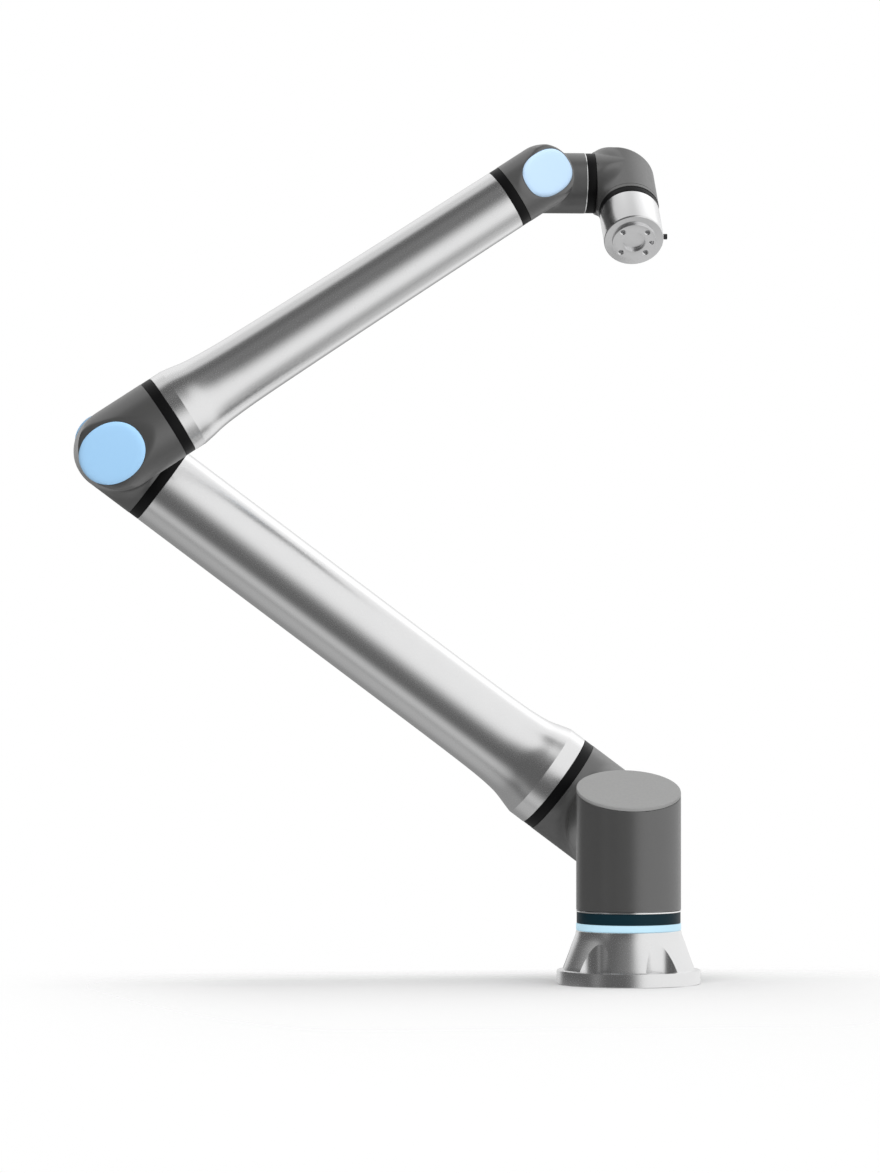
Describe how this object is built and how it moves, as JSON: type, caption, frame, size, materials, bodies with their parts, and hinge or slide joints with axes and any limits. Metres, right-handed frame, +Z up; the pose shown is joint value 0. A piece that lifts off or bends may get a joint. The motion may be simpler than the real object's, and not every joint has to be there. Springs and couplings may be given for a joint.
{
  "type": "collaborative robot arm",
  "caption": "Jointed robot arm on a round foot: slim metal tubes between round gray joint housings with blue caps, ending in a round tool flange.",
  "frame": {"origin": "centre of the mounting face under the foot", "axes": "+Z up along the base joint's axis, +X the way the forearm points, +Y towards the side the upper arm is on"},
  "size_m": [0.8806, 0.3733, 1.202],
  "materials": {
    "gray_paint": "fine satin gray paint on cast aluminium",
    "lid_paint": "lighter satin gray paint",
    "satin_aluminium": "satin turned aluminium",
    "machined_steel": "ground steel",
    "black_seal": "matt black seal",
    "black_plastic": "matt black plastic",
    "blue_cap": "soft satin sky blue plastic",
    "light_ring": "translucent light guide, lit pale blue",
    "motor_winding": "varnished copper winding on a steel core",
    "circuit_board": "green circuit board"
  },
  "bodies": {
    "base": {"base_casting": "satin_aluminium", "base_light_ring": "light_ring", "base_joint_seal": "black_seal", "base_cable_socket": "black_plastic", "base_output_flange": "machined_steel"},
    "shoulder": {"shoulder_housing": "gray_paint", "shoulder_lid": "lid_paint", "shoulder_trim_ring": "satin_aluminium", "base_drive_board": "circuit_board", "shoulder_output_flange": "machined_steel", "base_motor_stator": "motor_winding", "base_gear_ring": "machined_steel"},
    "upper_arm": {"upper_arm_shoulder_housing": "gray_paint", "upper_arm_shoulder_cap": "blue_cap", "upper_arm_lower_band": "black_seal", "upper_arm_tube": "satin_aluminium", "upper_arm_upper_band": "black_seal", "upper_arm_elbow_housing": "gray_paint", "upper_arm_elbow_cap": "blue_cap", "shoulder_drive_board": "circuit_board", "elbow_output_flange": "machined_steel", "shoulder_motor_stator": "motor_winding", "shoulder_gear_ring": "machined_steel"},
    "forearm": {"forearm_elbow_housing": "gray_paint", "forearm_elbow_cap": "blue_cap", "forearm_lower_band": "black_seal", "forearm_tube": "satin_aluminium", "forearm_upper_band": "black_seal", "forearm_wrist_housing": "gray_paint", "forearm_wrist_cap": "blue_cap", "elbow_drive_board": "circuit_board", "wrist_1_drive_board": "circuit_board", "elbow_motor_stator": "motor_winding", "elbow_gear_ring": "machined_steel", "wrist_1_motor_stator": "motor_winding", "wrist_1_gear_ring": "machined_steel"},
    "wrist_1": {"wrist_1_housing": "gray_paint", "wrist_1_cap": "blue_cap", "wrist_1_trim_ring": "satin_aluminium", "wrist_2_drive_board": "circuit_board", "wrist_1_output_flange": "machined_steel", "wrist_2_motor_stator": "motor_winding", "wrist_2_gear_ring": "machined_steel"},
    "wrist_2": {"wrist_2_housing": "gray_paint", "wrist_2_cap": "blue_cap", "wrist_2_joint_seal": "black_seal", "wrist_3_drive_board": "circuit_board", "wrist_2_output_flange": "machined_steel", "wrist_3_joint_seal": "black_seal", "wrist_3_motor_stator": "motor_winding", "wrist_3_gear_ring": "machined_steel"},
    "wrist_3": {"tool_flange": "satin_aluminium", "tool_connector": "black_plastic", "wrist_3_output_flange": "machined_steel"},
    "base_rotor": {"base_motor_rotor": "machined_steel"},
    "shoulder_rotor": {"shoulder_motor_rotor": "machined_steel"},
    "elbow_rotor": {"elbow_motor_rotor": "machined_steel"},
    "wrist_1_rotor": {"wrist_1_motor_rotor": "machined_steel"},
    "wrist_2_rotor": {"wrist_2_motor_rotor": "machined_steel"},
    "wrist_3_rotor": {"wrist_3_motor_rotor": "machined_steel"}
  },
  "joints": [
    {"name": "base_rotation", "type": "hinge", "parent": "base", "child": "shoulder", "pos_m": [0, 0, 0.1], "axis": [0, 0, 1], "range_deg": [-360, 360]},
    {"name": "base_motor_spin", "type": "hinge", "parent": "shoulder", "child": "base_rotor", "pos_m": [0, 0, 0.1], "axis": [0, 0, 1], "range_deg": [-36010, 36010]},
    {"name": "shoulder_lift", "type": "hinge", "parent": "shoulder", "child": "upper_arm", "pos_m": [0, 0.1, 0.2186], "axis": [0, 1, 0], "range_deg": [-360, 360]},
    {"name": "shoulder_motor_spin", "type": "hinge", "parent": "upper_arm", "child": "shoulder_rotor", "pos_m": [0, 0.1, 0.2186], "axis": [0, 1, 0], "range_deg": [-36010, 36010]},
    {"name": "elbow", "type": "hinge", "parent": "upper_arm", "child": "forearm", "pos_m": [-0.71865, 0.123, 0.75857], "axis": [0, 1, 0], "range_deg": [-250, 45]},
    {"name": "elbow_motor_spin", "type": "hinge", "parent": "forearm", "child": "elbow_rotor", "pos_m": [-0.71865, 0.123, 0.75857], "axis": [0, 1, 0], "range_deg": [-4510, 25010]},
    {"name": "wrist_1", "type": "hinge", "parent": "forearm", "child": "wrist_1", "pos_m": [-0.11834, 0.1157, 1.14678], "axis": [0, 1, 0], "range_deg": [-185, 70]},
    {"name": "wrist_1_motor_spin", "type": "hinge", "parent": "forearm", "child": "wrist_1_rotor", "pos_m": [-0.11834, 0.1157, 1.14678], "axis": [0, 1, 0], "range_deg": [-7010, 18510]},
    {"name": "wrist_2", "type": "hinge", "parent": "wrist_1", "child": "wrist_2", "pos_m": [0.01776, 0.1824, 1.14678], "axis": [1, 0, 0], "range_deg": [-360, 360]},
    {"name": "wrist_2_motor_spin", "type": "hinge", "parent": "wrist_1", "child": "wrist_2_rotor", "pos_m": [0.01776, 0.1824, 1.14678], "axis": [1, 0, 0], "range_deg": [-36010, 36010]},
    {"name": "wrist_3", "type": "hinge", "parent": "wrist_2", "child": "wrist_3", "pos_m": [0.01776, 0.1824, 1.14678], "axis": [0, -0.7672, -0.6414], "range_deg": [-360, 360]},
    {"name": "wrist_3_motor_spin", "type": "hinge", "parent": "wrist_2", "child": "wrist_3_rotor", "pos_m": [0.01776, 0.1824, 1.14678], "axis": [0, -0.7672, -0.6414], "range_deg": [-36010, 36010]}
  ],
  "couplings": [
    {"joint": "base_motor_spin", "follows": "base_rotation", "ratio": -100},
    {"joint": "shoulder_motor_spin", "follows": "shoulder_lift", "ratio": -100},
    {"joint": "elbow_motor_spin", "follows": "elbow", "ratio": -100},
    {"joint": "wrist_1_motor_spin", "follows": "wrist_1", "ratio": -100},
    {"joint": "wrist_2_motor_spin", "follows": "wrist_2", "ratio": -100},
    {"joint": "wrist_3_motor_spin", "follows": "wrist_3", "ratio": -100}
  ]
}
